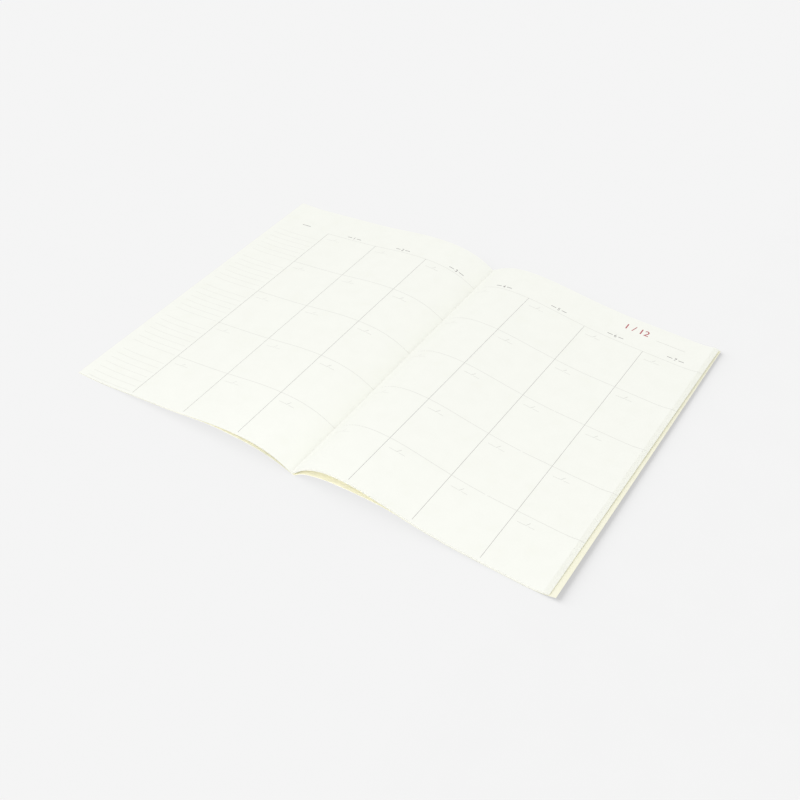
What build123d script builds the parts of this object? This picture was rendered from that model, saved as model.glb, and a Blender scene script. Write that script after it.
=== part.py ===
# Monthly planner: a soft saddle-stitched booklet of folded sheets in a card cover,
# lying open and face up. Few leaves are turned to the left, most lie on the right.
# Both halves swell beside the fold, and the leaves spring clear of the cover there.
# The right fore-edge curls a little off the table.
# X runs across the spread, Y from the tail (near) to the head (far), Z up from the table.
# The origin is at the fold, half-way along it, at table height.

import os
from math import exp, sqrt

from build123d import *

# Format of the open booklet
PAGE_HEIGHT = 257.0        # tail to head
HALF_WIDTH = 181.2         # fold to the middle of the cover's fore-edge, less what its swell takes up
TRIM_SKEW = 0.8            # the cover's fore-edge runs out this far at the tail and in at the head
EDGE_STRIP = 15.0          # strip along each fore-edge past the swell: flat on the left, curled on the right

# Sheets
LEAF = 0.12                # one leaf of writing paper
LEFT_LEAVES = 2            # leaves turned to the left
RIGHT_LEAVES = 12          # leaves still lying on the right
COVER = 0.30               # card of the cover
SHEET_CLEAR = 0.12         # air between the cover and the leaves on it
FOLD_CLEAR = 0.10          # each half starts this far from the middle of the fold

# Swell that the sheets follow: height over the table and distance of its crest from the fold
LEFT_SWELL = 9.4
LEFT_CREST = 51.5
LEFT_CLIMB = 1.12          # the smaller, the steeper the sheets leave the fold
LEFT_FALL = 2.06           # the larger, the sooner the swell dies away past its crest
RIGHT_SWELL_TAIL = 9.5
RIGHT_SWELL_HEAD = 4.8
RIGHT_CREST = 43.7
RIGHT_CLIMB = 0.86
RIGHT_FALL = 2.35
COVER_START = 3.6          # the right cover leaves the fold flat and joins the swell past about here
SHEET_START = 0.0          # the other sheets climb straight from the fold

# Curl of the fore-edges: height of the cover over the table
LEFT_CURL = 0.0            # the left fore-edge lies flat
RIGHT_CURL_TAIL = 2.2
RIGHT_CURL_HEAD = 1.4
EDGE_GAP_TAIL = 0.7        # the leaves curl this much more than the cover under them
EDGE_GAP_HEAD = 1.5

# Hollow between the cover and the leaves that spring clear of it
HOLLOW_START = 1.6         # sheets stay together this far from the fold
HOLLOW_CREST = 27.5
HOLLOW_FALL = 1.10
LEFT_HOLLOW = 3.0
LEFT_HOLLOW_END = 95.0
RIGHT_HOLLOW_TAIL = 5.8
RIGHT_HOLLOW_HEAD = 4.75
RIGHT_HOLLOW_END = 111.5

# Fore-edges of the leaves, set back from the middle of the cover's
LEFT_SETBACK = 2.4
RIGHT_SETBACK_TAIL = 3.5   # lowest right leaf
RIGHT_SETBACK_HEAD = 2.0
CREEP = 0.33               # each right leaf ends this far inside the one below it

# Wire staples through the fold
WIRE = 0.45
WIRE_SIDES = 8             # the drawn wire is rolled to flats
STAPLE_CROWN = 12.0        # middle of leg to middle of leg
STAPLE_CLINCH = 4.5        # turned-in end of each leg
STAPLE_SPACING = 128.0     # middle of staple to middle of staple
STAPLE_X = 0.75            # the wires stand just right of the fold
STAPLE_CLEAR = 0.10
SPINE_LIFT = WIRE + STAPLE_CLEAR   # the fold rides on the staple crowns

STATIONS = 12              # points that carry each curve across a half
CROWDING = 1.6             # the larger, the closer these points stand by the fold
EASE = 12                  # the larger, the shorter the run-out of the swell into the edge strip

SWELL_END = HALF_WIDTH - EDGE_STRIP
RIGHT_BLOCK = RIGHT_LEAVES * LEAF

# Shapes of the sheets across a half: swell, crest, climb, fall, curl and start
LEFT_SHAPE = (LEFT_SWELL, LEFT_CREST, LEFT_CLIMB, LEFT_FALL, LEFT_CURL, SHEET_START)
RIGHT_LINE = (RIGHT_CREST, RIGHT_CLIMB, RIGHT_FALL)
RIGHT_TAIL_SHAPE = (RIGHT_SWELL_TAIL, *RIGHT_LINE, RIGHT_CURL_TAIL, SHEET_START)
RIGHT_HEAD_SHAPE = (RIGHT_SWELL_HEAD, *RIGHT_LINE, RIGHT_CURL_HEAD, SHEET_START)
COVER_TAIL_SHAPE = (RIGHT_SWELL_TAIL, *RIGHT_LINE, RIGHT_CURL_TAIL, COVER_START)
COVER_HEAD_SHAPE = (RIGHT_SWELL_HEAD, *RIGHT_LINE, RIGHT_CURL_HEAD, COVER_START)


def rise(u, climb, fall):
    """Curve that climbs from nought at the fold to one at its crest, where u is 1, then dies away."""
    power = climb if u < 1 else fall
    return (u * exp(1 - u)) ** power


def hollow(x, height, end):
    """Height of the hollow under the sprung leaves at x, nought at both its ends."""
    if x <= HOLLOW_START or x >= end:
        return 0.0
    run = x - HOLLOW_START
    full_run = end - HOLLOW_START
    left_over = rise(full_run / HOLLOW_CREST, HOLLOW_FALL, HOLLOW_FALL) * run / full_run
    return height * (rise(run / HOLLOW_CREST, HOLLOW_FALL, HOLLOW_FALL) - left_over)


def curl(x, lift):
    """Height of the curl of the edge strip at x, lift being its height at the fore-edge."""
    return lift * (max(0.0, x - SWELL_END) / EDGE_STRIP) ** 2


def underside(x, swell):
    """Height of the face that a shape starts from at x, easing down to the edge strip."""
    height, crest, climb, fall, lift, start = swell
    if x >= SWELL_END:
        return curl(x, lift)
    if start > 0:
        height *= 1 - exp(-((x / start) ** 2))
    ease = (1 - (x / SWELL_END) ** EASE) ** 2
    return (SPINE_LIFT + height * rise(x / crest, climb, fall)) * ease


def layer(x, swell, build_up):
    """Height of a face that lies build_up above that one, square to the sheets."""
    step = FOLD_CLEAR / 4
    slope = (underside(x + step, swell) - underside(x - step, swell)) / (2 * step)
    return underside(x, swell) + build_up * sqrt(1 + slope * slope)


def stations(start, end):
    """Places across a half, closer together by the fold where the sheets bend most."""
    return [start + (end - start) * (i / (STATIONS - 1)) ** CROWDING for i in range(STATIONS)]


def curve_across(start, end, height_at, y):
    """Curve in the plane at y through the heights that height_at gives."""
    return Spline(*[(x, y, height_at(x)) for x in stations(start, end)])


def strip_across(start, end, height_at, y, curled):
    """Edge across the edge strip, straight where the strip lies flat."""
    corner = (end, y, height_at(end))
    if not curled:
        return Line(start, corner)
    middle = (SWELL_END + end) / 2
    return Spline(start, (middle, y, height_at(middle)), corner)


def face_across(end, height_at, y, curled):
    """Edges of a sheet's face in the plane at y: the swell, then the edge strip."""
    swelling = curve_across(FOLD_CLEAR, SWELL_END, height_at, y)
    return [swelling, strip_across(swelling @ 1, end, height_at, y, curled)]


def closed_face(curves):
    """Plane face inside curves that follow each other."""
    return Face(Wire(curves))


def sheet_face(low_at, high_at, end, y, curled):
    """Section of a sheet or pile of sheets with a plain square fore-edge."""
    low = face_across(end, low_at, y, curled)
    high = face_across(end, high_at, y, curled)
    edge = Line(low[-1] @ 1, high[-1] @ 1)
    fold = Line(high[0] @ 0, low[0] @ 0)
    return closed_face([*low, edge, *reversed(high), fold])


def along_the_page(tail_face, head_face):
    """Solid between a section at the tail and its section at the head."""
    return Solid(loft([tail_face, head_face], ruled=True).wrapped)


TAIL = -PAGE_HEIGHT / 2
HEAD = PAGE_HEIGHT / 2


# Cover: one folded card, made as its two panels because they turn about the fold

COVER_TAIL_END = HALF_WIDTH + TRIM_SKEW
COVER_HEAD_END = HALF_WIDTH - TRIM_SKEW


def cover_face(swell, y, curled):
    return sheet_face(
        lambda x: layer(x, swell, 0),
        lambda x: layer(x, swell, COVER),
        COVER_TAIL_END,
        y,
        curled,
    )


def trimmings():
    """What the trimming knife takes off the fore-edge, from nothing at the tail."""
    outside = COVER_TAIL_END + TRIM_SKEW
    outline = Polyline(
        (COVER_TAIL_END, TAIL),
        (outside, TAIL),
        (outside, HEAD),
        (COVER_HEAD_END, HEAD),
        close=True,
    )
    return extrude(make_face(outline), amount=EDGE_STRIP, both=True)


def left_cover():
    panel = along_the_page(
        cover_face(LEFT_SHAPE, TAIL, False),
        cover_face(LEFT_SHAPE, HEAD, False),
    )
    return mirror(panel - trimmings(), about=Plane.YZ)


def right_cover():
    panel = along_the_page(
        cover_face(COVER_TAIL_SHAPE, TAIL, True),
        cover_face(COVER_HEAD_SHAPE, HEAD, True),
    )
    return panel - trimmings() - leg_holes()


# Leaves: each half is one pile

LEAVES_START = COVER + SHEET_CLEAR


def left_leaves():
    def low_at(x):
        return layer(x, LEFT_SHAPE, LEAVES_START) + hollow(x, LEFT_HOLLOW, LEFT_HOLLOW_END)

    def high_at(x):
        pile = LEAVES_START + LEFT_LEAVES * LEAF
        return layer(x, LEFT_SHAPE, pile) + hollow(x, LEFT_HOLLOW, LEFT_HOLLOW_END)

    end = HALF_WIDTH - LEFT_SETBACK
    pile = along_the_page(
        sheet_face(low_at, high_at, end, TAIL, False),
        sheet_face(low_at, high_at, end, HEAD, False),
    )
    return mirror(pile, about=Plane.YZ)


def right_pile_face(swell, hollow_height, edge_gap, setback, y):
    """Section of the right pile, with a step for each leaf at the fore-edge."""

    def at(x, build_up):
        clear_of_cover = hollow(x, hollow_height, RIGHT_HOLLOW_END) + curl(x, edge_gap)
        return layer(x, swell, LEAVES_START + build_up) + clear_of_cover

    end = HALF_WIDTH - setback
    top_end = end - (RIGHT_LEAVES - 1) * CREEP
    low = face_across(end, lambda x: at(x, 0), y, True)
    high = face_across(top_end, lambda x: at(x, RIGHT_BLOCK), y, True)
    corners = []
    for leaf in range(RIGHT_LEAVES):
        x = end - leaf * CREEP
        corners.append((x, y, at(x, leaf * LEAF)))
        corners.append((x, y, at(x, (leaf + 1) * LEAF)))
    steps = Polyline(*corners).edges()
    fold = Line(high[0] @ 0, low[0] @ 0)
    return closed_face([*low, *steps, *reversed(high), fold])


def right_leaves():
    pile = along_the_page(
        right_pile_face(RIGHT_TAIL_SHAPE, RIGHT_HOLLOW_TAIL, EDGE_GAP_TAIL, RIGHT_SETBACK_TAIL, TAIL),
        right_pile_face(RIGHT_HEAD_SHAPE, RIGHT_HOLLOW_HEAD, EDGE_GAP_HEAD, RIGHT_SETBACK_HEAD, HEAD),
    )
    return pile - staple_slots()


# Staples: crown outside the fold, legs through it, ends turned in at the middle of the pile

CROWN_Z = WIRE / 2
CLINCH_Z = underside(STAPLE_X, RIGHT_TAIL_SHAPE) + LEAVES_START + RIGHT_BLOCK / 2
STAPLE_PLACES = (-STAPLE_SPACING / 2, STAPLE_SPACING / 2)


def staple(y):
    half = STAPLE_CROWN / 2
    path = Polyline(
        (STAPLE_X, y - half + STAPLE_CLINCH, CLINCH_Z),
        (STAPLE_X, y - half, CLINCH_Z),
        (STAPLE_X, y - half, CROWN_Z),
        (STAPLE_X, y + half, CROWN_Z),
        (STAPLE_X, y + half, CLINCH_Z),
        (STAPLE_X, y + half - STAPLE_CLINCH, CLINCH_Z),
    )
    wire_section = Plane(origin=path @ 0, z_dir=path % 0) * RegularPolygon(WIRE / 2, WIRE_SIDES)
    return sweep(wire_section, path=path, transition=Transition.RIGHT)


ROOM = WIRE + 2 * STAPLE_CLEAR
ROOM_TOP = CLINCH_Z + ROOM / 2


def leg_holes():
    """Holes for the staples' legs in the cover."""
    legs = [y + side * STAPLE_CROWN / 2 for y in STAPLE_PLACES for side in (-1, 1)]
    return Compound([Pos(STAPLE_X, y, ROOM_TOP / 2) * Box(ROOM, ROOM, ROOM_TOP) for y in legs])


def staple_slots():
    """Slots in the leaves for the staples' legs and turned-in ends."""
    length = STAPLE_CROWN + ROOM
    return Compound([Pos(STAPLE_X, y, ROOM_TOP / 2) * Box(ROOM, length, ROOM_TOP) for y in STAPLE_PLACES])


def staples():
    return Compound([staple(y) for y in STAPLE_PLACES])


nodes = {
    "front_cover": left_cover(),
    "back_cover": right_cover(),
    "left_leaves": left_leaves(),
    "right_leaves": right_leaves(),
    "staples": staples(),
}

os.makedirs("parts", exist_ok=True)
for name, shape in nodes.items():
    export_step(shape, f"parts/{name}.step")
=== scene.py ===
import random
from math import cos, exp, pi, radians, sin, sqrt

import bmesh
import bpy
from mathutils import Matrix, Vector


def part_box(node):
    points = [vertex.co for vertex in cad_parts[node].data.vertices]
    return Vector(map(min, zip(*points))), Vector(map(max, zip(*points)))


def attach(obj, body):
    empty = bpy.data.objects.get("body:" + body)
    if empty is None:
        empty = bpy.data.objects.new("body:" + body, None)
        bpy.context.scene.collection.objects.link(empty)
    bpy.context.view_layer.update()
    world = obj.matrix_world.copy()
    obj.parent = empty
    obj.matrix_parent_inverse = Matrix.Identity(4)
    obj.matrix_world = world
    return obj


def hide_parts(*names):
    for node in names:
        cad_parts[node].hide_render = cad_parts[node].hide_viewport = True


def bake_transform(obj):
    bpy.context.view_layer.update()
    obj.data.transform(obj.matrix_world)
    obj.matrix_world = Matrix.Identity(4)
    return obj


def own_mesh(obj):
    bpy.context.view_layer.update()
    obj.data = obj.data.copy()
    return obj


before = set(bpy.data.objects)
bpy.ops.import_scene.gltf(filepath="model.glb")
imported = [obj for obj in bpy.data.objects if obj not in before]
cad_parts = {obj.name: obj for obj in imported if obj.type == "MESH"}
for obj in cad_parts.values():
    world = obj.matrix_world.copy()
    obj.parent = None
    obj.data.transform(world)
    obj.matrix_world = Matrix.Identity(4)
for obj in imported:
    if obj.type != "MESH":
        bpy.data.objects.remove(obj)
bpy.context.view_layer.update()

# Cover: one folded card of pale yellow stock, about 250 g/m2, unprinted and trimmed a little out
# of square. The leaves bend its panels up beside the fold, higher at the tail on the right, and
# the fold rides on the staple crowns. Lengths are in mm until they go into a mesh.

MM = 0.001
COVER_LOW, COVER_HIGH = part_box("back_cover")
TAIL = COVER_LOW[1] / MM
HEAD = COVER_HIGH[1] / MM
COVER_TAIL_END = COVER_HIGH[0] / MM
TRIM_SKEW = 0.8
HALF_WIDTH = COVER_TAIL_END - TRIM_SKEW
COVER_HEAD_END = HALF_WIDTH - TRIM_SKEW
EDGE_STRIP = 15.0
SWELL_END = HALF_WIDTH - EDGE_STRIP
SPINE_LIFT = 0.55
EASE = 12
HOLLOW_START = 1.6
HOLLOW_CREST = 27.5
HOLLOW_CURVE = 1.10

# Each end of a half has the height, crest, climb and fall of its arch, the lift of its fore-edge,
# the height of the hollow under the leaves and their gap over the cover at the fore-edge. The right
# cover leaves the fold flat, while its leaves climb at once.
COVER_START = 3.6
LEFT_END = {"arch": (9.4, 51.5, 1.12, 2.06), "lift": 0.0, "hollow": 3.0, "gap": 0.0}
RIGHT_TAIL = {"arch": (9.5, 43.7, 0.86, 2.35), "lift": 2.2, "hollow": 5.8, "gap": 0.7}
RIGHT_HEAD = {"arch": (4.8, 43.7, 0.86, 2.35), "lift": 1.4, "hollow": 4.75, "gap": 1.5}
COVER_TAIL = {**RIGHT_TAIL, "start": COVER_START}
COVER_HEAD = {**RIGHT_HEAD, "start": COVER_START}
LEFT_HALF = {"side": -1, "ends": (LEFT_END, LEFT_END), "hollow_end": 95.0}
RIGHT_HALF = {"side": 1, "ends": (RIGHT_TAIL, RIGHT_HEAD), "hollow_end": 111.5}
LEFT_COVER = {**LEFT_HALF, "drawn_up": (45.0, 82.0)}
RIGHT_COVER = {**RIGHT_HALF, "ends": (COVER_TAIL, COVER_HEAD), "drawn_up": (46.0, 82.0)}


def rise(u, climb, fall):
    """Climbs from nought at the fold to one at the crest, where u is 1, then dies away."""
    return (u * exp(1 - u)) ** (climb if u < 1 else fall)


def hollow(x, height, end):
    """Height of the hollow between the cover and the leaves."""
    if x <= HOLLOW_START or x >= end:
        return 0.0
    run = x - HOLLOW_START
    full_run = end - HOLLOW_START
    left_over = rise(full_run / HOLLOW_CREST, HOLLOW_CURVE, HOLLOW_CURVE) * run / full_run
    return height * (rise(run / HOLLOW_CREST, HOLLOW_CURVE, HOLLOW_CURVE) - left_over)


def curl(x, lift):
    """Height of the curl past the swell, lift being its height at the fore-edge."""
    return lift * (max(0.0, x - SWELL_END) / EDGE_STRIP) ** 2


def underside(x, end):
    """Height of the arch at one end of a half."""
    height, crest, climb, fall = end["arch"]
    if x >= SWELL_END:
        return curl(x, end["lift"])
    if "start" in end:
        height *= 1 - exp(-((x / end["start"]) ** 2))
    swell = SPINE_LIFT + height * rise(x / crest, climb, fall)
    return swell * (1 - (x / SWELL_END) ** EASE) ** 2


DRAWN_SHARE = 0.85


def drawn_up(x, start, end):
    """Share of the hollow that the cover fills at x, where it is drawn up to the leaves."""
    t = min(1.0, max(0.0, (x - start) / (end - start)))
    return DRAWN_SHARE * t * t * (3 - 2 * t)


def between(at_tail, at_head, y):
    """Value at y of something that changes evenly from tail to head."""
    return at_tail + (at_head - at_tail) * (y - TAIL) / (HEAD - TAIL)


SLOPE_STEP = 0.025


def height_at(half, x, y, build_up, spring=0.0):
    """Height of a face build_up above the arch, square to the sheets; spring 1 frees a leaf."""
    heights = []
    for end in half["ends"]:
        climb = underside(x + SLOPE_STEP, end) - underside(abs(x - SLOPE_STEP), end)
        slope = climb / (2 * SLOPE_STEP)
        room = hollow(x, end["hollow"], half["hollow_end"])
        if "drawn_up" in half:
            clear = room * drawn_up(x, *half["drawn_up"])
        else:
            clear = (room + curl(x, end["gap"])) * spring
        heights.append(underside(x, end) + build_up * sqrt(1 + slope * slope) + clear)
    return between(*heights, y)


COVER = 0.30
FOLD_HALF = 0.30
SHARP_EDGE = radians(40)
STEPS_ALONG = 16
STEPS_ACROSS = 64
STRIP_STEPS = 6
FOLD_STEPS = 12
CLOSER_AT_FOLD = 1.35


def spread(start, end, count, power=1.0):
    """Places from start to end, closer together near the start when power is over 1."""
    return [start + (end - start) * (i / count) ** power for i in range(count + 1)]


def place(name, data):
    """Puts an object with this mesh, light or camera in the scene."""
    thing = bpy.data.objects.new(name, data)
    bpy.context.scene.collection.objects.link(thing)
    return thing


def closed_sheet(name, rows, stock, cut):
    """Thin sheet of a stock from rows of (lower point, upper point), closed round its cut edges."""
    bm = bmesh.new()
    grid = []
    for row in rows:
        grid.append([[bm.verts.new([c * MM for c in point]) for point in pair] for pair in row])
    for near, far in zip(grid, grid[1:]):
        for a, b, c, d in zip(near, near[1:], far[1:], far):
            bm.faces.new([a[0], b[0], c[0], d[0]])
            bm.faces.new([a[1], b[1], c[1], d[1]])
    first = [row[0] for row in grid]
    last = [row[-1] for row in grid]
    for strip in (grid[0], grid[-1], first, last):
        for a, b in zip(strip, strip[1:]):
            bm.faces.new([a[0], b[0], b[1], a[1]]).material_index = 1
    bmesh.ops.recalc_face_normals(bm, faces=bm.faces)
    mesh = bpy.data.meshes.new(name)
    bm.to_mesh(mesh)
    bm.free()
    mesh.shade_smooth()
    mesh.set_sharp_from_angle(angle=SHARP_EDGE)
    mesh.materials.append(stock)
    mesh.materials.append(cut)
    return place(name, mesh)


def half_rows(half, start, tail_end, head_end, low, high, spring=0.0, tail=TAIL, head=HEAD):
    """Rows of one sheet of a half, from start to its fore-edge, between two build-ups."""
    rows = []
    for y in spread(tail, head, STEPS_ALONG):
        across = spread(start, SWELL_END, STEPS_ACROSS, CLOSER_AT_FOLD)
        across += spread(SWELL_END, between(tail_end, head_end, y), STRIP_STEPS)[1:]
        row = []
        for x in across:
            heights = [height_at(half, x, y, level, spring) for level in (low, high)]
            row.append([(half["side"] * x, y, z) for z in heights])
        rows.append(row)
    return rows


def flatten(piece):
    """Gives a piece a mesh of its own."""
    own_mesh(piece)


def lay(piece, body, slot, *nodes):
    """Puts a sheet on its half and hides the CAD nodes that it stands in for."""
    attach(piece, body)
    flatten(piece)
    if nodes:
        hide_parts(*nodes)


def shader(name, roughness, specular):
    """New material with a plain surface; returns the material, its node tree and its shader."""
    material = bpy.data.materials.new(name)
    material.use_nodes = True
    tree = material.node_tree
    surface = tree.nodes["Principled BSDF"]
    surface.inputs["Roughness"].default_value = roughness
    surface.inputs["Specular IOR Level"].default_value = specular
    return material, tree, surface


def linear(red, green, blue):
    """Colour from 0 to 255 as a screen shows it, in the linear values that shaders take."""
    values = []
    for c in (red / 255, green / 255, blue / 255):
        values.append(c / 12.92 if c <= 0.04045 else ((c + 0.055) / 1.055) ** 2.4)
    return (*values, 1.0)


def noise(tree, scale, detail, stretch=(1, 1, 1)):
    """Noise over the piece's own metres, stretched where fibres lie one way."""
    where = tree.nodes.new("ShaderNodeTexCoord")
    mapping = tree.nodes.new("ShaderNodeMapping")
    mapping.inputs["Scale"].default_value = stretch
    texture = tree.nodes.new("ShaderNodeTexNoise")
    texture.inputs["Scale"].default_value = scale
    texture.inputs["Detail"].default_value = detail
    tree.links.new(where.outputs["Object"], mapping.inputs["Vector"])
    tree.links.new(mapping.outputs["Vector"], texture.inputs["Vector"])
    return texture.outputs["Fac"]


def ramp(tree, factor, stops):
    """Colour ramp over a factor; stops are (place, colour)."""
    node = tree.nodes.new("ShaderNodeValToRGB")
    elements = node.color_ramp.elements
    elements[0].position, elements[0].color = stops[0]
    elements[1].position, elements[1].color = stops[-1]
    for stop, colour in stops[1:-1]:
        elements.new(stop).color = colour
    tree.links.new(factor, node.inputs["Fac"])
    return node.outputs["Color"]


def relief(tree, surface, height, strength, depth):
    """Fine relief on a surface, depth in mm."""
    bump = tree.nodes.new("ShaderNodeBump")
    bump.inputs["Strength"].default_value = strength
    bump.inputs["Distance"].default_value = depth * MM
    tree.links.new(height, bump.inputs["Height"])
    tree.links.new(bump.outputs["Normal"], surface.inputs["Normal"])


SHEET_ROUGHNESS = 0.85
SHEET_SPECULAR = 0.25
CLOUD_SCALE, CLOUD_DETAIL = 90, 3
FIBRE_DETAIL = 4
FIBRE_STRETCH = (0.35, 1.0, 1.0)
SHADE_STOPS = (0.42, 0.62, 0.85)
TOOTH_STRENGTH = 0.35


def sheet_stock(name, shades, flecks, fibre_scale, tooth, roughness):
    """Uncoated paper or card: cloudy formation, fine fibres across the sheet, a felt-like tooth."""
    material, tree, surface = shader(name, SHEET_ROUGHNESS, SHEET_SPECULAR)
    clouds = noise(tree, CLOUD_SCALE, CLOUD_DETAIL)
    fibres = noise(tree, fibre_scale, FIBRE_DETAIL, FIBRE_STRETCH)
    formation = tree.nodes.new("ShaderNodeMath")
    formation.operation = "MULTIPLY_ADD"
    formation.inputs[1].default_value = flecks
    tree.links.new(fibres, formation.inputs[0])
    tree.links.new(clouds, formation.inputs[2])
    colour = ramp(tree, formation.outputs["Value"], list(zip(SHADE_STOPS, shades)))
    tree.links.new(colour, surface.inputs["Base Color"])
    gloss = tree.nodes.new("ShaderNodeMapRange")
    gloss.inputs["To Min"].default_value = roughness[0]
    gloss.inputs["To Max"].default_value = roughness[1]
    tree.links.new(fibres, gloss.inputs["Value"])
    tree.links.new(gloss.outputs["Result"], surface.inputs["Roughness"])
    relief(tree, surface, fibres, TOOTH_STRENGTH, tooth)
    return material


cover_card = sheet_stock(
    "cover_card",
    shades=(linear(248, 246, 222), linear(249, 247, 225), linear(250, 248, 228)),
    flecks=0.45,
    fibre_scale=1600,
    tooth=0.05,
    roughness=(0.72, 0.88),
)
# Cut edges of the card: darker than its faces, partly for the rough cut and partly as painted shade
# on the edges that face the lamps in front.
card_edge_and_shade = sheet_stock(
    "card_edge_and_shade",
    shades=(linear(236, 234, 214), linear(239, 238, 220), linear(241, 240, 224)),
    flecks=0.9,
    fibre_scale=2400,
    tooth=0.08,
    roughness=(0.80, 0.92),
)
front_rows = half_rows(LEFT_COVER, FOLD_HALF, COVER_TAIL_END, COVER_HEAD_END, 0, COVER)
front_panel = closed_sheet("front_cover_card", front_rows, cover_card, card_edge_and_shade)
back_rows = half_rows(RIGHT_COVER, FOLD_HALF, COVER_TAIL_END, COVER_HEAD_END, 0, COVER)
back_panel = closed_sheet("back_cover_card", back_rows, cover_card, card_edge_and_shade)
fold_rows = []
for y in spread(TAIL, HEAD, STEPS_ALONG):
    fold_row = []
    for x in spread(-FOLD_HALF, FOLD_HALF, FOLD_STEPS):
        half = LEFT_COVER if x < 0 else RIGHT_COVER
        fold_row.append([(x, y, height_at(half, abs(x), y, level)) for level in (0, COVER)])
    fold_rows.append(fold_row)
cover_fold = closed_sheet("cover_fold", fold_rows, cover_card, card_edge_and_shade)
lay(front_panel, "left_half", "cover_card", "front_cover")
lay(back_panel, "right_half", "cover_card", "back_cover")
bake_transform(cover_fold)

# Staples: two pieces of drawn steel wire, pushed through the fold from outside and clinched inside.
# The wire is bright, with fine lines along it from the drawing die.

WIRE_ROUGHNESS = 0.32
WIRE_SPECULAR = 0.5
DRAWING_SCALE, DRAWING_DETAIL = 9000, 2
DRAWING_STRETCH = (1.0, 0.04, 1.0)
DRAWING_STRENGTH, DRAWING_DEPTH = 0.2, 0.01
WIRE_SHADES = [(0.3, linear(176, 177, 178)), (0.7, linear(214, 215, 216))]

steel, steel_tree, steel_surface = shader("staple_wire", WIRE_ROUGHNESS, WIRE_SPECULAR)
steel_surface.inputs["Metallic"].default_value = 1.0
drawing_lines = noise(steel_tree, DRAWING_SCALE, DRAWING_DETAIL, DRAWING_STRETCH)
steel_shade = ramp(steel_tree, drawing_lines, WIRE_SHADES)
steel_tree.links.new(steel_shade, steel_surface.inputs["Base Color"])
relief(steel_tree, steel_surface, drawing_lines, DRAWING_STRENGTH, DRAWING_DEPTH)
staple_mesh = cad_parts["staples"].data
staple_mesh.materials.clear()
staple_mesh.materials.append(steel)
flatten(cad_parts["staples"])

# Leaves: folded sheets of cream writing paper, about 90 g/m2, two turned to the left and twelve on
# the right. They are cut together, and those nearer the top end further in at the fore-edge.

LEAF_PITCH = 0.12
LEAF = 0.105
LEAF_CLEARANCE = 0.12
LEAVES_START = COVER + LEAF_CLEARANCE
LEAF_START = 0.10
LEFT_LEAVES = 2
LEFT_SETBACK = 0.3
RIGHT_LEAVES = 12
RIGHT_SETBACK_TAIL = 3.5
RIGHT_SETBACK_HEAD = 2.0
CREEP = 0.33
LEFT_CREEP = CREEP / 2
CUTTING_SLIP = 0.10
LEAST_SPRING = 0.95
leaves = []

writing_paper = sheet_stock(
    "writing_paper",
    shades=(linear(248, 249, 241), linear(249, 250, 243), linear(250, 251, 244)),
    flecks=0.40,
    fibre_scale=2200,
    tooth=0.03,
    roughness=(0.80, 0.92),
)
# Cut edges of the leaves: a little greyer than the faces, partly for the rough cut fibres and
# partly as painted shade for the shadows between the stepped leaves.
paper_edge_and_shade = sheet_stock(
    "paper_edge_and_shade",
    shades=(linear(243, 242, 234), linear(246, 245, 238), linear(248, 248, 241)),
    flecks=0.9,
    fibre_scale=3000,
    tooth=0.03,
    roughness=(0.85, 0.95),
)
slips = random.Random(12)


def spring_of(number, count):
    """How far a leaf springs off the cover; the leaves above it stand a hair further off."""
    return LEAST_SPRING + (1 - LEAST_SPRING) * (number + 1) / count


def leaf_foot(number):
    """Build-up under a leaf, counted from the cover."""
    return LEAVES_START + number * LEAF_PITCH


def right_edge(number, y):
    """Fore-edge of a right-hand leaf, counted from the cover, at y."""
    return HALF_WIDTH - between(RIGHT_SETBACK_TAIL, RIGHT_SETBACK_HEAD, y) - number * CREEP


def leaf(name, half, body, tail_end, head_end, number, count, node):
    """One leaf of a half, counted from the cover."""
    low = leaf_foot(number)
    tail = TAIL + slips.random() * CUTTING_SLIP
    head = HEAD - slips.random() * CUTTING_SLIP
    spring = spring_of(number, count)
    rows = half_rows(half, LEAF_START, tail_end, head_end, low, low + LEAF, spring, tail, head)
    piece = closed_sheet(name, rows, writing_paper, paper_edge_and_shade)
    lay(piece, body, "writing_paper", node)
    leaves.append(piece)


for number in range(LEFT_LEAVES):
    setback = LEFT_SETBACK + number * LEFT_CREEP
    leaf(
        f"left_leaf_{number + 1}",
        LEFT_HALF,
        "left_half",
        tail_end=COVER_TAIL_END - setback,
        head_end=COVER_HEAD_END - setback,
        number=number,
        count=LEFT_LEAVES,
        node="left_leaves",
    )
for number in range(RIGHT_LEAVES):
    leaf(
        f"right_leaf_{number + 1:02d}",
        RIGHT_HALF,
        "right_half",
        tail_end=right_edge(number, TAIL),
        head_end=right_edge(number, HEAD),
        number=number,
        count=RIGHT_LEAVES,
        node="right_leaves",
    )

# Ruling: hairlines printed in pale grey on the open spread. Three column lines on each page start
# at the header line. The right-hand rows run on to the fore-edge and show on the stepped leaves.

INK_LIFT = 0.012
LEFT_TOP = leaf_foot(LEFT_LEAVES - 1) + LEAF
RIGHT_TOP = leaf_foot(RIGHT_LEAVES - 1) + LEAF
LEFT_PAGE = {"half": LEFT_HALF, "top": LEFT_TOP, "spring": 1.0, "body": "left_half"}
RIGHT_PAGE = {"half": RIGHT_HALF, "top": RIGHT_TOP, "spring": 1.0, "body": "right_half"}
HEADER_Y = 99.4
ROW_PITCH = 45.1
ROWS = 5
ROW_TILT = -0.0115
TAIL_MARGIN = 2.2
COLUMN_END = TAIL + TAIL_MARGIN
LEFT_COLUMNS = (134.1, 89.1, 43.6)
RIGHT_COLUMNS = ((41.1, 44.6), (86.1, 90.0), (132.3, 135.2))
COLUMN_WIDTH = 0.32
COLUMN_STEPS = 24
ROW_WIDTH = 0.30
LEFT_ROW_START = 1.2
LEFT_ROW_END = LEFT_COLUMNS[0]
LEFT_ROW_STEPS = 60
RIGHT_ROW_START = 6.0
RIGHT_ROW_STEPS = 70


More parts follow.
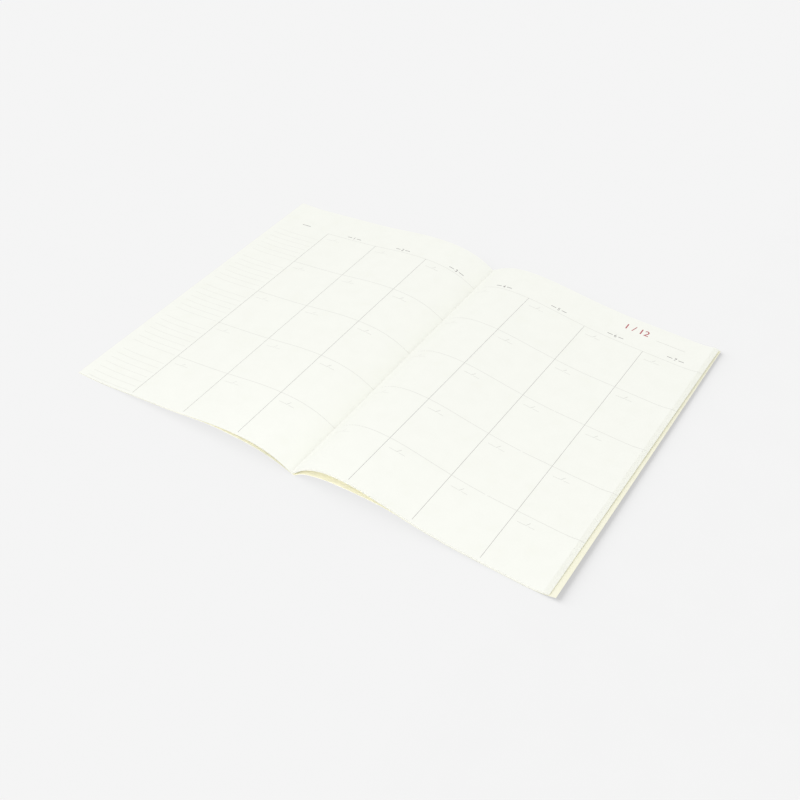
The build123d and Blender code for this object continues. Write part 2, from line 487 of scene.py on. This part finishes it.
def page_point(page, x, y, lift=INK_LIFT):
    """Point just over the open page at x from the fold, in mm."""
    half = page["half"]
    return (half["side"] * x, y, height_at(half, x, y, page["top"], page["spring"]) + lift)


def right_column(column, y):
    """Place of a right-hand column line, which leans with the page."""
    return between(*RIGHT_COLUMNS[column], y)


def row_y(page, row, x):
    """Height up the page of a row line; the right page lies a little askew."""
    return HEADER_Y - row * ROW_PITCH + (ROW_TILT * x if page["half"] is RIGHT_HALF else 0.0)


def stroke_rows(page, start, end, width, steps):
    """Rows of a straight printed stroke draped on the page, from start to end, both (x, y)."""
    (x0, y0), (x1, y1) = start, end
    length = sqrt((x1 - x0) ** 2 + (y1 - y0) ** 2)
    off_x = -(y1 - y0) / length * width / 2
    off_y = (x1 - x0) / length * width / 2
    rows = []
    for t in spread(0, 1, steps):
        x = x0 + (x1 - x0) * t
        y = y0 + (y1 - y0) * t
        one_side = page_point(page, x - off_x, y - off_y)
        other_side = page_point(page, x + off_x, y + off_y)
        rows.append([one_side, other_side])
    return rows


def printed(name, page, strokes, ink):
    """Piece of print made of draped strokes, each a list of rows of points."""
    mesh = bpy.data.meshes.new(name)
    points = []
    faces = []
    for rows in strokes:
        for row in rows:
            points.extend([[c * MM for c in point] for point in row])
        start = len(points) - 2 * len(rows)
        for i in range(start, len(points) - 2, 2):
            faces.append((i, i + 1, i + 3, i + 2))
    mesh.from_pydata(points, [], faces)
    mesh.update()
    bm = bmesh.new()
    bm.from_mesh(mesh)
    bmesh.ops.reverse_faces(bm, faces=[face for face in bm.faces if face.normal.z < 0])
    bm.to_mesh(mesh)
    bm.free()
    mesh.shade_smooth()
    mesh.materials.append(ink)
    lay(place(name, mesh), page["body"], "writing_paper")


INK_ROUGHNESS = 0.8
INK_SPECULAR = 0.2
INK_SCALE, INK_DETAIL = 2600, 3
INK_STOPS = (0.35, 0.65)


def printing_ink(name, thin, full):
    """Offset ink on uncoated paper: a little uneven where the fibres take it."""
    material, tree, surface = shader(name, INK_ROUGHNESS, INK_SPECULAR)
    colour = ramp(tree, noise(tree, INK_SCALE, INK_DETAIL), list(zip(INK_STOPS, (thin, full))))
    tree.links.new(colour, surface.inputs["Base Color"])
    return material


column_ink = printing_ink("column_ink", linear(206, 206, 200), linear(186, 186, 181))
row_ink = printing_ink("row_ink", linear(232, 232, 226), linear(222, 222, 216))

strokes = []
for x in LEFT_COLUMNS:
    line = stroke_rows(LEFT_PAGE, (x, HEADER_Y), (x, COLUMN_END), COLUMN_WIDTH, COLUMN_STEPS)
    strokes.append(line)
printed("left_column_lines", LEFT_PAGE, strokes, column_ink)
strokes = []
for column in range(len(RIGHT_COLUMNS)):
    head_x = right_column(column, HEADER_Y)
    start = (head_x, row_y(RIGHT_PAGE, 0, head_x))
    end = (right_column(column, COLUMN_END), COLUMN_END)
    strokes.append(stroke_rows(RIGHT_PAGE, start, end, COLUMN_WIDTH, COLUMN_STEPS))
printed("right_column_lines", RIGHT_PAGE, strokes, column_ink)

strokes = []
for row in range(ROWS):
    y = row_y(LEFT_PAGE, row, 0)
    start, end = (LEFT_ROW_START, y), (LEFT_ROW_END, y)
    strokes.append(stroke_rows(LEFT_PAGE, start, end, ROW_WIDTH, LEFT_ROW_STEPS))
printed("left_row_lines", LEFT_PAGE, strokes, row_ink)
strokes = []
for row in range(ROWS):
    y = row_y(RIGHT_PAGE, row, HALF_WIDTH)
    start = (RIGHT_ROW_START, row_y(RIGHT_PAGE, row, RIGHT_ROW_START))
    end = (right_edge(RIGHT_LEAVES - 1, y), y)
    strokes.append(stroke_rows(RIGHT_PAGE, start, end, ROW_WIDTH, RIGHT_ROW_STEPS))
    for number in range(RIGHT_LEAVES - 1):
        top = leaf_foot(number) + LEAF
        step = {**RIGHT_PAGE, "top": top, "spring": spring_of(number, RIGHT_LEAVES)}
        start, end = (right_edge(number + 1, y), y), (right_edge(number, y), y)
        strokes.append(stroke_rows(step, start, end, ROW_WIDTH, 1))
printed("right_row_lines", RIGHT_PAGE, strokes, row_ink)

# Notes column: the outer column of the left page is ruled for writing, in a group of fine lines for
# each row. The first line of a group is left out, and the last lies on the row line.

NOTE_LINES = 8
NOTE_FIRST = 2
NOTE_START = 175.0
NOTE_INSET = 2.6
NOTE_END = LEFT_COLUMNS[0] + NOTE_INSET
NOTE_WIDTH = 0.28
NOTE_STEPS = 10
note_ink = printing_ink("note_ink", linear(240, 240, 234), linear(234, 234, 228))
strokes = []
for row in range(ROWS):
    for line in range(NOTE_FIRST, NOTE_LINES + 1):
        y = HEADER_Y - row * ROW_PITCH - line * ROW_PITCH / NOTE_LINES
        if y > COLUMN_END:
            start, end = (NOTE_END, y), (NOTE_START, y)
            strokes.append(stroke_rows(LEFT_PAGE, start, end, NOTE_WIDTH, NOTE_STEPS))
printed("note_lines", LEFT_PAGE, strokes, note_ink)

# Date blanks: in each day's upper corner a short rule broken by a slash, to write the date on. They
# are printed like the ruling, in a paler grey in the outer columns and beside the fold.

BLANK_INSET = 4.0
BLANK_DROP = 7.4
BLANK_LENGTH = 11.6
BLANK_WIDTH = 0.22
BLANK_STEPS = 5
BLANK_GAP = 0.9
SLASH_AT = 6.3
SLASH_BACK, SLASH_DROP = 0.6, 0.2
SLASH_FORWARD, SLASH_RISE = 1.3, 3.0
SLASH_WIDTH = 0.34
SLASH_STEPS = 4
date_ink = printing_ink("date_ink", linear(224, 224, 218), linear(212, 212, 206))


def date_blank(page, x, y, direction):
    """Strokes of one date blank that starts at x, y and reads to the right."""
    middle = x + direction * SLASH_AT
    before = (middle - direction * BLANK_GAP, y)
    after = (middle + direction * BLANK_GAP, y)
    blank_end = (x + direction * BLANK_LENGTH, y)
    foot = (middle - direction * SLASH_BACK, y - SLASH_DROP)
    top = (middle + direction * SLASH_FORWARD, y + SLASH_RISE)
    return [
        stroke_rows(page, (x, y), before, BLANK_WIDTH, BLANK_STEPS),
        stroke_rows(page, after, blank_end, BLANK_WIDTH, BLANK_STEPS),
        stroke_rows(page, foot, top, SLASH_WIDTH, SLASH_STEPS),
    ]


left_groups = (("outer", LEFT_COLUMNS[:2], row_ink), ("left", LEFT_COLUMNS[2:], date_ink))
for name, columns, ink in left_groups:
    strokes = []
    for row in range(ROWS):
        for x in columns:
            y = row_y(LEFT_PAGE, row, x) - BLANK_DROP
            strokes += date_blank(LEFT_PAGE, x - BLANK_INSET, y, -1)
    printed(f"{name}_date_blanks", LEFT_PAGE, strokes, ink)
strokes = []
gutter_strokes = []
for row in range(ROWS):
    fold_y = row_y(RIGHT_PAGE, row, 0) - BLANK_DROP
    gutter_strokes += date_blank(RIGHT_PAGE, BLANK_INSET, fold_y, 1)
    for column in range(len(RIGHT_COLUMNS)):
        x = right_column(column, fold_y)
        y = row_y(RIGHT_PAGE, row, x) - BLANK_DROP
        strokes += date_blank(RIGHT_PAGE, x + BLANK_INSET, y, 1)
printed("right_date_blanks", RIGHT_PAGE, strokes, date_ink)
printed("gutter_date_blanks", RIGHT_PAGE, gutter_strokes, note_ink)

# Column heads: a plain day number between two dashes over each day, a dash over the notes column,
# and in the upper corner of the right page a red number heading with a rule to write on.

HEAD_Y = 101.0
DIGIT_HEIGHT = 2.9
DIGIT_SHARE = 0.7
DIGIT_STEPS = 3
FIGURE_LIFT = 0.04
LEFT_HEADS = ((1, 111.0), (2, 66.0), (3, 18.5))
RIGHT_HEADS = ((4, 22.2), (5, 67.0), (6, 112.0), (7, 157.3))
DASH_START = 2.2
DASH_END = 6.2
DASH_WIDTH = 0.5
DASH_STEPS = 4
NOTES_DASH = (153.5, 161.5)
MONTH_X, MONTH_Y = 122.0, 114.4
MONTH_HEIGHT = 5.8
MONTH_RULE = (138.0, 160.0)
MONTH_RULE_Y = 113.9
MONTH_RULE_WIDTH = 0.3
MONTH_RULE_STEPS = 6
head_ink = printing_ink("head_ink", linear(168, 166, 164), linear(142, 140, 139))
red_ink = printing_ink("red_ink", linear(192, 80, 94), linear(176, 60, 76))


def number_mesh(text, height):
    """Flat mesh of plain figures, with its points in mm about the middle of its foot."""
    curve = bpy.data.curves.new("figures", "FONT")
    curve.body = text
    curve.align_x = "CENTER"
    curve.size = height / DIGIT_SHARE
    curve.resolution_u = DIGIT_STEPS
    holder = bpy.data.objects.new("figures", curve)
    mesh = bpy.data.meshes.new_from_object(holder)
    bpy.data.objects.remove(holder)
    bpy.data.curves.remove(curve)
    return mesh


def figures(name, page, items, height, ink):
    """Piece of printed figures; items are (text, x, y), and the figures read to the right."""
    bm = bmesh.new()
    for text, x, y in items:
        flat = number_mesh(text, height)
        for vertex in flat.vertices:
            across = page["half"]["side"] * x + vertex.co.x
            along = y + vertex.co.y
            vertex.co = Vector(page_point(page, abs(across), along, FIGURE_LIFT)) * MM
        bm.from_mesh(flat)
        bpy.data.meshes.remove(flat)
    bmesh.ops.recalc_face_normals(bm, faces=bm.faces)
    bmesh.ops.reverse_faces(bm, faces=[face for face in bm.faces if face.normal.z < 0])
    mesh = bpy.data.meshes.new(name)
    bm.to_mesh(mesh)
    bm.free()
    mesh.materials.append(ink)
    lay(place(name, mesh), page["body"], "writing_paper")


dash_y = HEAD_Y + DIGIT_HEIGHT / 2
for page, heads, name in ((LEFT_PAGE, LEFT_HEADS, "left"), (RIGHT_PAGE, RIGHT_HEADS, "right")):
    days = [(str(day), x, HEAD_Y) for day, x in heads]
    figures(f"{name}_day_numbers", page, days, DIGIT_HEIGHT, head_ink)
    dashes = []
    for day, x in heads:
        dashes += [(x + sign * DASH_START, x + sign * DASH_END) for sign in (-1, 1)]
    if page is LEFT_PAGE:
        dashes.append(NOTES_DASH)
    strokes = []
    for start, end in dashes:
        strokes.append(stroke_rows(page, (start, dash_y), (end, dash_y), DASH_WIDTH, DASH_STEPS))
    printed(f"{name}_head_dashes", page, strokes, head_ink)

figures("month_number", RIGHT_PAGE, [("1 / 12", MONTH_X, MONTH_Y)], MONTH_HEIGHT, red_ink)
start, end = [(x, MONTH_RULE_Y) for x in MONTH_RULE]
month_rule = stroke_rows(RIGHT_PAGE, start, end, MONTH_RULE_WIDTH, MONTH_RULE_STEPS)
printed("month_rule", RIGHT_PAGE, [month_rule], date_ink)

# Setting: a plain pale table top in even light, with a weak soft window at the near side. The table
# also glows to the camera, a painted light that lifts its shadows, less so on the right. A low lamp
# from the left reaches only the table and draws the shadow. Lamps in front reach only the booklet:
# warm ones the hollows of the cover, a weak one the leaf edges, a wide one the pages.

bpy.context.scene.view_settings.view_transform = "Standard"
TABLE_HALF = 3.0
TABLE_ROUGHNESS = 0.9
TABLE_SHADES = [(0.3, linear(149, 149, 149)), (0.7, linear(150, 150, 150))]
TABLE_SCALE, TABLE_DETAIL = 40, 2
GLOW_COLOUR = linear(245, 245, 245)
GLOW = 0.87
SHADOW_SIDE_GLOW = 0.56
GLOW_TURN_START = SWELL_END - 20.0
GLOW_TURN_END = SWELL_END + 10.0
ROOM_SHARE = 0.905
WHITE = (1.0, 1.0, 1.0, 1.0)


def larger(tree, first, second):
    """The larger of two values in a material."""
    node = tree.nodes.new("ShaderNodeMath")
    node.operation = "MAXIMUM"
    tree.links.new(first, node.inputs[0])
    tree.links.new(second, node.inputs[1])
    return node.outputs["Value"]


table_mesh = bpy.data.meshes.new("table_top")
table_corners = [(-TABLE_HALF, -TABLE_HALF, 0), (TABLE_HALF, -TABLE_HALF, 0)]
table_corners += [(TABLE_HALF, TABLE_HALF, 0), (-TABLE_HALF, TABLE_HALF, 0)]
table_mesh.from_pydata(table_corners, [], [(0, 1, 2, 3)])
table_top = place("table_top", table_mesh)
table_paint, table_tree, table_surface = shader("table_paint", TABLE_ROUGHNESS, 0.0)
table_shade = ramp(table_tree, noise(table_tree, TABLE_SCALE, TABLE_DETAIL), TABLE_SHADES)
table_tree.links.new(table_shade, table_surface.inputs["Base Color"])
path = table_tree.nodes.new("ShaderNodeLightPath").outputs
mirrored = larger(table_tree, path["Is Glossy Ray"], path["Is Transmission Ray"])
seen = larger(table_tree, path["Is Camera Ray"], mirrored)
table_place = table_tree.nodes.new("ShaderNodeTexCoord")
table_axes = table_tree.nodes.new("ShaderNodeSeparateXYZ")
table_tree.links.new(table_place.outputs["Object"], table_axes.inputs["Vector"])
# The table glows to the camera and in reflections, lifting its shadows: painted light, stronger up
# to the booklet's right fore-edge than past it, where the shadow falls.
glow_across = table_tree.nodes.new("ShaderNodeMapRange")
glow_across.interpolation_type = "SMOOTHSTEP"
glow_across.inputs["From Min"].default_value = GLOW_TURN_START * MM
glow_across.inputs["From Max"].default_value = GLOW_TURN_END * MM
glow_across.inputs["To Min"].default_value = GLOW
glow_across.inputs["To Max"].default_value = SHADOW_SIDE_GLOW
table_tree.links.new(table_axes.outputs["X"], glow_across.inputs["Value"])
glow_share = table_tree.nodes.new("ShaderNodeMath")
glow_share.operation = "MULTIPLY"
table_tree.links.new(seen, glow_share.inputs[0])
table_tree.links.new(glow_across.outputs["Result"], glow_share.inputs[1])
glow = table_tree.nodes.new("ShaderNodeEmission")
glow.inputs["Color"].default_value = GLOW_COLOUR
glow.inputs["Strength"].default_value = 1.0
paint_and_glow = table_tree.nodes.new("ShaderNodeMixShader")
table_tree.links.new(glow_share.outputs["Value"], paint_and_glow.inputs["Fac"])
table_tree.links.new(table_surface.outputs["BSDF"], paint_and_glow.inputs[1])
table_tree.links.new(glow.outputs["Emission"], paint_and_glow.inputs[2])
table_output = table_tree.nodes["Material Output"]
table_tree.links.new(paint_and_glow.outputs["Shader"], table_output.inputs["Surface"])
table_mesh.materials.append(table_paint)

world = bpy.data.worlds.new("room")
bpy.context.scene.world = world
world.use_nodes = True
room = world.node_tree.nodes["Background"]
room.inputs["Color"].default_value = WHITE
room.inputs["Strength"].default_value = ROOM_SHARE


def aim(thing, direction):
    """Turns a lamp or camera to look along a direction."""
    thing.rotation_euler = direction.to_track_quat("-Z", "Y").to_euler()


def light_only(light_holder, pieces):
    """Lets a lamp reach these pieces and nothing else."""
    lit = bpy.data.collections.new(light_holder.name + "_pieces")
    for piece in pieces:
        lit.objects.link(piece)
    light_holder.light_linking.receiver_collection = lit


def sun(name, share, azimuth, elevation, softness):
    """Sun lamp that adds a share of the full light on a flat table; angles in degrees from +X."""
    light = bpy.data.lights.new(name, "SUN")
    light.angle = radians(softness)
    turn, tilt = radians(azimuth), radians(elevation)
    light.energy = share * pi / sin(tilt)
    holder = place(name, light)
    aim(holder, -Vector((cos(tilt) * cos(turn), cos(tilt) * sin(turn), sin(tilt))))
    return holder


SPOT_BLEND = 0.6
SPOT_RADIUS = 30.0
SPOT_AIM = 4.0
WARM = (1.0, 0.90, 0.66)
PALE = (1.0, 1.0, 0.98)


def front_spot(name, energy, colour, across, away, height, cone, pieces):
    """Spot in front of the tail that looks at its foot and reaches only these pieces."""
    light = bpy.data.lights.new(name, "SPOT")
    light.energy = energy
    light.color = colour
    light.spot_size = radians(cone)
    light.spot_blend = SPOT_BLEND
    light.shadow_soft_size = SPOT_RADIUS * MM
    spot = place(name, light)
    spot.location = (across * MM, (TAIL - away) * MM, height * MM)
    aim(spot, Vector((across * MM, TAIL * MM, SPOT_AIM * MM)) - spot.location)
    light_only(spot, pieces)


sun("window", share=0.07, azimuth=265, elevation=30, softness=50)
graze = sun("table_graze", share=2.0, azimuth=190, elevation=34, softness=56)
light_only(graze, [table_top])
front_spot(
    "right_hollow_lamp",
    energy=0.6,
    colour=WARM,
    across=8,
    away=182,
    height=109,
    cone=46,
    pieces=[back_panel, cover_fold],
)
front_spot(
    "left_hollow_lamp",
    energy=0.42,
    colour=WARM,
    across=-50,
    away=182,
    height=109,
    cone=27,
    pieces=[front_panel],
)
front_spot(
    "edge_lamp",
    energy=0.09,
    colour=PALE,
    across=8,
    away=202,
    height=62,
    cone=46,
    pieces=leaves,
)

PAGE_LAMP_WIDTH, PAGE_LAMP_DEPTH = 500.0, 60.0
PAGE_LAMP_AWAY, PAGE_LAMP_HEIGHT = 200.0, 150.0
PAGE_LAMP_ENERGY = 0.08
page_light = bpy.data.lights.new("page_lamp", "AREA")
page_light.shape = "RECTANGLE"
page_light.size = PAGE_LAMP_WIDTH * MM
page_light.size_y = PAGE_LAMP_DEPTH * MM
page_light.energy = PAGE_LAMP_ENERGY
page_lamp = place("page_lamp", page_light)
page_lamp.location = (0, (TAIL - PAGE_LAMP_AWAY) * MM, PAGE_LAMP_HEIGHT * MM)
aim(page_lamp, -page_lamp.location)
light_only(page_lamp, [front_panel, back_panel, cover_fold] + leaves)

AZIMUTH = radians(32.622)
ELEVATION = radians(41.685)
DISTANCE = 0.76282
LOOK_AT = Vector((0.01837, -0.03354, 0.0))
LENS, SENSOR = 51.507, 36.0
camera_data = bpy.data.cameras.new("camera")
camera_data.sensor_width = SENSOR
camera_data.lens = LENS
camera = place("camera", camera_data)
ahead = cos(ELEVATION)
towards = Vector((sin(AZIMUTH) * ahead, -cos(AZIMUTH) * ahead, sin(ELEVATION)))
camera.location = LOOK_AT + towards * DISTANCE
aim(camera, -towards)
bpy.context.scene.camera = camera
